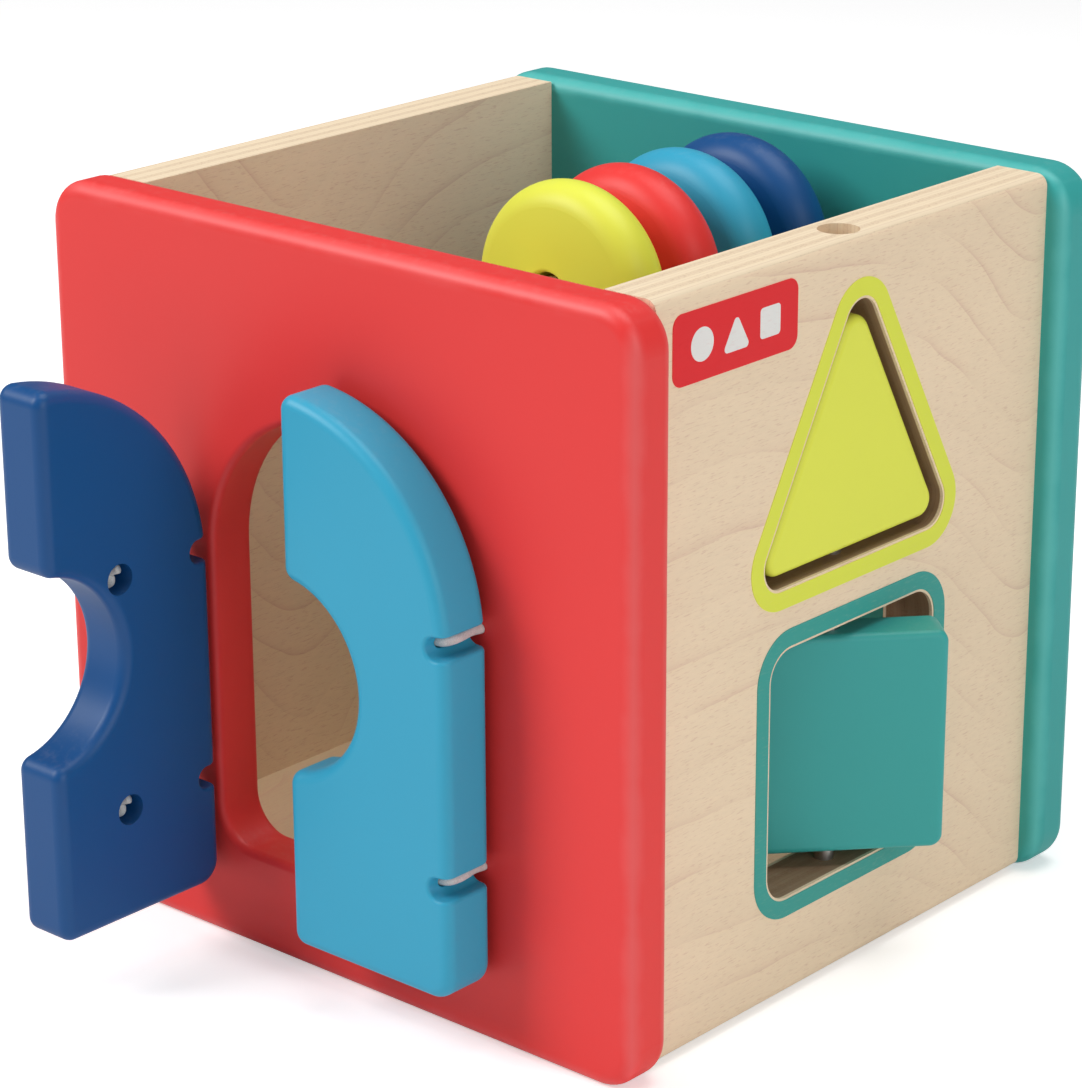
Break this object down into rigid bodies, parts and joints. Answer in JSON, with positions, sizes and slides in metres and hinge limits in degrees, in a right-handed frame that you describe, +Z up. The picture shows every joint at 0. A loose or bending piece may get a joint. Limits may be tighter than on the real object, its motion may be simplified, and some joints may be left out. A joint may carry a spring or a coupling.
{
  "type": "wooden activity cube",
  "caption": "Open-topped wooden activity cube with cord-hinged doors over an arch, a triangle and a square block that spin in the wall, and rounded discs on a rod.",
  "frame": {"origin": "middle of the cube's footprint, at the height that the two panels stand on", "axes": "+X to the right along the front panel, +Y from the front panel to the back panel, +Z up"},
  "size_m": [0.1601, 0.1867, 0.152],
  "materials": {
    "red_panel": "smooth satin red paint on plywood",
    "teal_panel": "smooth satin teal paint on plywood",
    "plywood": "clear-sealed maple-faced plywood",
    "plywood_floor": "clear-sealed plywood",
    "dowel_wood": "plain beech",
    "rod_wood": "sanded beech rod",
    "steel": "bright steel rod",
    "plug_wood": "plain wood plug",
    "lime_paint": "smooth satin lime paint on wood",
    "teal_paint": "smooth satin teal paint on wood",
    "lime_print": "screen-printed lime ink",
    "teal_print": "screen-printed teal ink",
    "red_print": "screen-printed red ink",
    "dark_blue_paint": "smooth satin dark blue paint on wood",
    "light_blue_paint": "smooth satin light blue paint on wood",
    "red_paint": "smooth satin red paint on wood",
    "elastic": "braided elastic cord"
  },
  "bodies": {
    "box": {"front_panel": "red_panel", "back_panel": "teal_panel", "left_wall": "plywood", "right_wall": "plywood", "floor_board": "plywood_floor", "front_dowels": "dowel_wood", "back_dowels": "dowel_wood", "floor_dowels": "dowel_wood", "spinner_axle": "steel", "axle_plug": "plug_wood", "triangle_ring_print": "lime_print", "square_ring_print": "teal_print", "wall_label": "red_print", "disc_rod": "rod_wood", "left_upper_cord_panel_end": "elastic", "left_lower_cord_panel_end": "elastic", "right_upper_cord_panel_end": "elastic", "right_lower_cord_panel_end": "elastic"},
    "left_door": {"left_door": "dark_blue_paint", "left_upper_cord_door_end": "elastic", "left_lower_cord_door_end": "elastic"},
    "right_door": {"right_door": "light_blue_paint", "right_upper_cord_door_end": "elastic", "right_lower_cord_door_end": "elastic"},
    "triangle_block": {"triangle_block": "lime_paint"},
    "square_block": {"square_block": "teal_paint"},
    "lime_disc": {"lime_disc": "lime_paint"},
    "red_disc": {"red_disc": "red_paint"},
    "light_blue_disc": {"light_blue_disc": "light_blue_paint"},
    "dark_blue_disc": {"dark_blue_disc": "dark_blue_paint"}
  },
  "joints": [
    {"name": "left_door_swing", "type": "hinge", "parent": "box", "child": "left_door", "pos_m": [-0.037, -0.07935, 0.07], "axis": [0, 0, 1], "range_deg": [0, 90]},
    {"name": "right_door_swing", "type": "hinge", "parent": "box", "child": "right_door", "pos_m": [0.037, -0.07935, 0.07], "axis": [0, 0, 1], "range_deg": [0, 90]},
    {"name": "triangle_spin", "type": "hinge", "parent": "box", "child": "triangle_block", "pos_m": [0.0655, 0, 0.1059], "axis": [0, 0, 1], "continuous": true},
    {"name": "square_spin", "type": "hinge", "parent": "box", "child": "square_block", "pos_m": [0.0655, 0, 0.0483], "axis": [0, 0, 1], "continuous": true},
    {"name": "lime_disc_spin", "type": "hinge", "parent": "box", "child": "lime_disc", "pos_m": [0.005, -0.0066, 0.1296], "axis": [0, 1, 0], "continuous": true},
    {"name": "red_disc_spin", "type": "hinge", "parent": "box", "child": "red_disc", "pos_m": [0.005, 0.0108, 0.1296], "axis": [0, 1, 0], "continuous": true},
    {"name": "light_blue_disc_spin", "type": "hinge", "parent": "box", "child": "light_blue_disc", "pos_m": [0.005, 0.0282, 0.1296], "axis": [0, 1, 0], "continuous": true},
    {"name": "dark_blue_disc_spin", "type": "hinge", "parent": "box", "child": "dark_blue_disc", "pos_m": [0.005, 0.0456, 0.1296], "axis": [0, 1, 0], "continuous": true}
  ]
}
